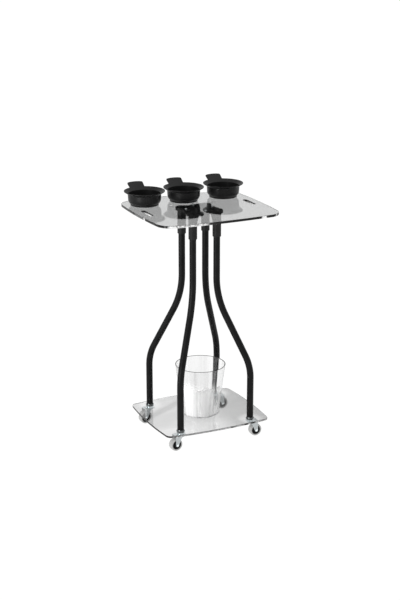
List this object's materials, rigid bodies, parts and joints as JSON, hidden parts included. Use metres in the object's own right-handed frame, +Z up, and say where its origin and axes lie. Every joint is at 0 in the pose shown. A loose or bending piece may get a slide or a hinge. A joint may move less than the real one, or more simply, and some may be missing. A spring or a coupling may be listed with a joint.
{
  "type": "salon trolley",
  "caption": "Rolling salon trolley with a clear tray on bent tube legs, a clear lower shelf on swivel casters, loose tint bowls and a clear bin.",
  "frame": {"origin": "on the floor under the middle of the tray, between the four wheels", "axes": "+Z up; +X along the tray's long side, from one hand slot to the other; -Y towards the front, with the bowls at the back (+Y)"},
  "size_m": [0.4328, 0.3946, 0.8308],
  "materials": {
    "clear_acrylic": "polished clear acrylic",
    "black_powder_coat": "satin black powder coat on steel tube",
    "black_bracket": "matte black moulded nylon",
    "bright_zinc": "bright zinc plate",
    "black_bowl_plastic": "satin black polypropylene",
    "black_hub_plastic": "matte black nylon",
    "grey_rubber": "smooth grey thermoplastic rubber"
  },
  "bodies": {
    "frame": {"top_tray": "clear_acrylic", "leg_bracket": "black_bracket", "tray_screw_1": "bright_zinc", "tray_screw_2": "bright_zinc", "tray_screw_3": "bright_zinc", "tray_screw_4": "bright_zinc", "lower_shelf": "clear_acrylic", "leg_front_left": "black_powder_coat", "leg_front_right": "black_powder_coat", "leg_back_left": "black_powder_coat", "leg_back_right": "black_powder_coat", "foot_collar_front_left": "bright_zinc", "foot_collar_front_right": "bright_zinc", "foot_collar_back_left": "bright_zinc", "foot_collar_back_right": "bright_zinc", "caster_front_left_stem": "bright_zinc", "caster_front_right_stem": "bright_zinc", "caster_back_left_stem": "bright_zinc", "caster_back_right_stem": "bright_zinc"},
    "swivel_front_left": {"caster_front_left_fork": "bright_zinc", "caster_front_left_axle": "bright_zinc"},
    "wheel_front_left": {"caster_front_left_hub": "black_hub_plastic", "caster_front_left_tyre": "grey_rubber"},
    "swivel_front_right": {"caster_front_right_fork": "bright_zinc", "caster_front_right_axle": "bright_zinc"},
    "wheel_front_right": {"caster_front_right_hub": "black_hub_plastic", "caster_front_right_tyre": "grey_rubber"},
    "swivel_back_left": {"caster_back_left_fork": "bright_zinc", "caster_back_left_axle": "bright_zinc"},
    "wheel_back_left": {"caster_back_left_hub": "black_hub_plastic", "caster_back_left_tyre": "grey_rubber"},
    "swivel_back_right": {"caster_back_right_fork": "bright_zinc", "caster_back_right_axle": "bright_zinc"},
    "wheel_back_right": {"caster_back_right_hub": "black_hub_plastic", "caster_back_right_tyre": "grey_rubber"},
    "tint_bowl_left": {"tint_bowl_left": "black_bowl_plastic"},
    "tint_bowl_middle": {"tint_bowl_middle": "black_bowl_plastic"},
    "tint_bowl_right": {"tint_bowl_right": "black_bowl_plastic"},
    "waste_bin": {"waste_bin": "clear_acrylic"}
  },
  "joints": [
    {"name": "caster_swivel_front_left", "type": "hinge", "parent": "frame", "child": "swivel_front_left", "pos_m": [-0.127, -0.127, 0.05], "axis": [0, 0, 1], "continuous": true},
    {"name": "wheel_spin_front_left", "type": "hinge", "parent": "swivel_front_left", "child": "wheel_front_left", "pos_m": [-0.14592, -0.12879, 0.0205], "axis": [0.0941, -0.9956, 0], "continuous": true},
    {"name": "caster_swivel_front_right", "type": "hinge", "parent": "frame", "child": "swivel_front_right", "pos_m": [0.127, -0.127, 0.05], "axis": [0, 0, 1], "continuous": true},
    {"name": "wheel_spin_front_right", "type": "hinge", "parent": "swivel_front_right", "child": "wheel_front_right", "pos_m": [0.146, -0.1272, 0.0205], "axis": [0.0105, 0.9999, 0], "continuous": true},
    {"name": "caster_swivel_back_left", "type": "hinge", "parent": "frame", "child": "swivel_back_left", "pos_m": [-0.127, 0.127, 0.05], "axis": [0, 0, 1], "continuous": true},
    {"name": "wheel_spin_back_left", "type": "hinge", "parent": "swivel_back_left", "child": "wheel_back_left", "pos_m": [-0.14594, 0.12551, 0.0205], "axis": [0.0785, -0.9969, 0], "continuous": true},
    {"name": "caster_swivel_back_right", "type": "hinge", "parent": "frame", "child": "swivel_back_right", "pos_m": [0.127, 0.127, 0.05], "axis": [0, 0, 1], "continuous": true},
    {"name": "wheel_spin_back_right", "type": "hinge", "parent": "swivel_back_right", "child": "wheel_back_right", "pos_m": [0.146, 0.127, 0.0205], "axis": [0, 1, 0], "continuous": true},
    {"name": "tint_bowl_left_lift", "type": "slide", "parent": "frame", "child": "tint_bowl_left", "axis": [0, 0, 1], "range_m": [0, 0.15]},
    {"name": "tint_bowl_middle_lift", "type": "slide", "parent": "frame", "child": "tint_bowl_middle", "axis": [0, 0, 1], "range_m": [0, 0.15]},
    {"name": "tint_bowl_right_lift", "type": "slide", "parent": "frame", "child": "tint_bowl_right", "axis": [0, 0, 1], "range_m": [0, 0.15]},
    {"name": "waste_bin_lift", "type": "slide", "parent": "frame", "child": "waste_bin", "axis": [0, 0, 1], "range_m": [0, 0.12]}
  ]
}
